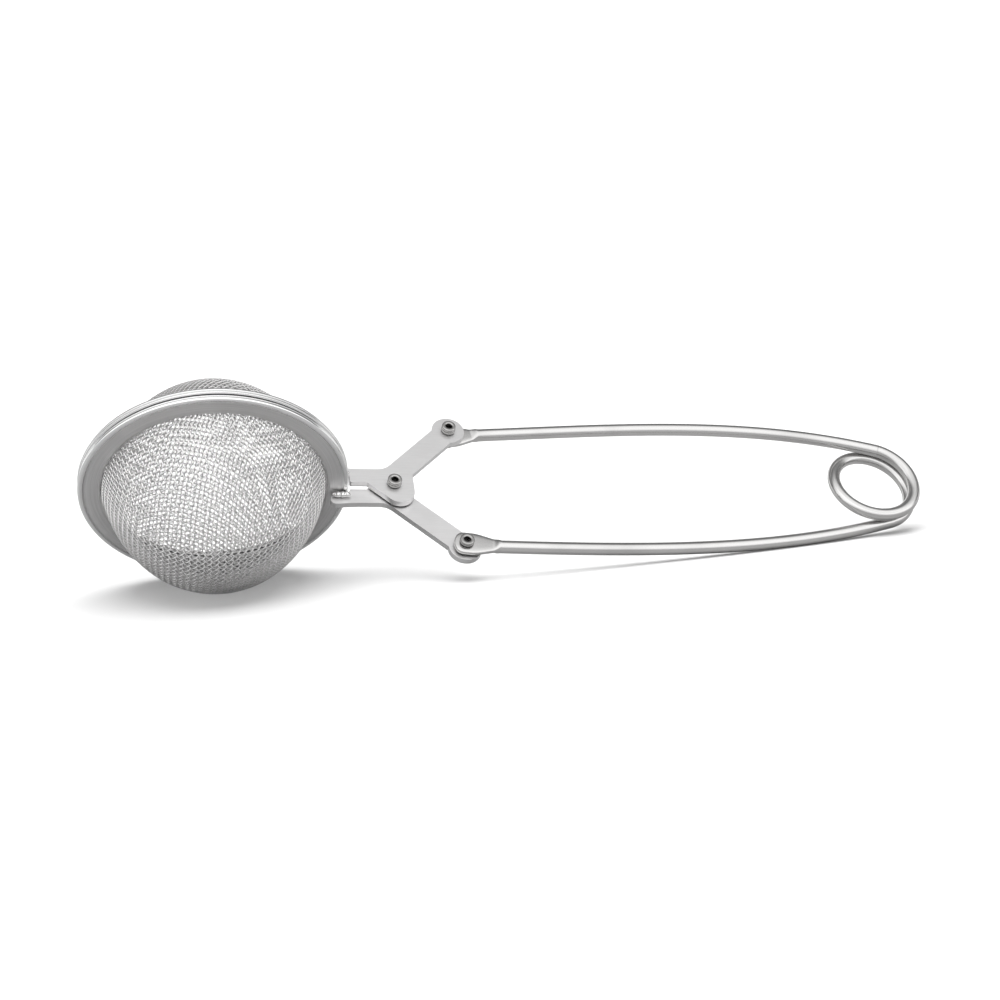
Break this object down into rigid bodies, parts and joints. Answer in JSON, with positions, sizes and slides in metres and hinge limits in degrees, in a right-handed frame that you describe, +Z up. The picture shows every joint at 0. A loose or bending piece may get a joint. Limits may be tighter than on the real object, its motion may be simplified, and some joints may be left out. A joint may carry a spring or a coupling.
{
  "type": "tea infuser",
  "caption": "Ball tea infuser: wire-mesh cups in flat rims on scissor levers, held shut and opened by squeezing a sprung wire handle with a coil at its end.",
  "frame": {"origin": "on the floor under the middle of the object's box; the object lies on its near side, with the near rim, the near cup and the near arm of the handle on z = 0", "axes": "+X from the ball to the coil, +Z up; the ball's split plane is rolled so that its far side is up, and the pivots' axes lean 39.7 degrees from +Z towards -Y and 4.4 degrees towards +X"},
  "size_m": [0.15, 0.0364, 0.0361],
  "materials": {
    "mesh_steel": "woven stainless wire, bright",
    "rim_steel": "satin pressed stainless sheet with a rolled bright edge",
    "lever_steel": "fine satin stainless plate with tumbled edges",
    "rivet_steel": "polished tubular rivets",
    "wire_steel": "drawn satin spring wire",
    "weld_steel": "bright weld bead"
  },
  "bodies": {
    "handle_near": {"near_arm": "wire_steel", "coil": "wire_steel"},
    "handle_far": {"far_arm": "wire_steel"},
    "near_jaw": {"near_mesh": "mesh_steel", "near_rim": "rim_steel", "near_lever": "lever_steel", "near_weld": "weld_steel", "pivot_rivet": "rivet_steel", "near_handle_rivet": "rivet_steel"},
    "far_jaw": {"far_mesh": "mesh_steel", "far_rim": "rim_steel", "far_lever": "lever_steel", "far_weld": "weld_steel", "far_handle_rivet": "rivet_steel"}
  },
  "joints": [
    {"name": "near_lever_hinge", "type": "hinge", "parent": "handle_near", "child": "near_jaw", "pos_m": [-0.01204, -0.00979, 0.00588], "axis": [0.0763, -0.6374, 0.7668], "range_deg": [0, 35.2]},
    {"name": "jaw_open", "type": "hinge", "parent": "near_jaw", "child": "far_jaw", "pos_m": [-0.02228, 0, 0.01503], "axis": [-0.0763, 0.6374, -0.7668], "range_deg": [0, 60], "stiffness_Nm_per_rad": 0.07, "springref_deg": -17.19},
    {"name": "handle_squeeze", "type": "hinge", "parent": "handle_near", "child": "handle_far", "pos_m": [0.06647, -0.00153, 0.00806], "axis": [0.0763, -0.6374, 0.7668], "range_deg": [0, 10.3]}
  ],
  "couplings": [
    {"joint": "near_lever_hinge", "follows": "jaw_open", "ratio": 0.5857},
    {"joint": "handle_squeeze", "follows": "jaw_open", "ratio": 0.17139}
  ]
}
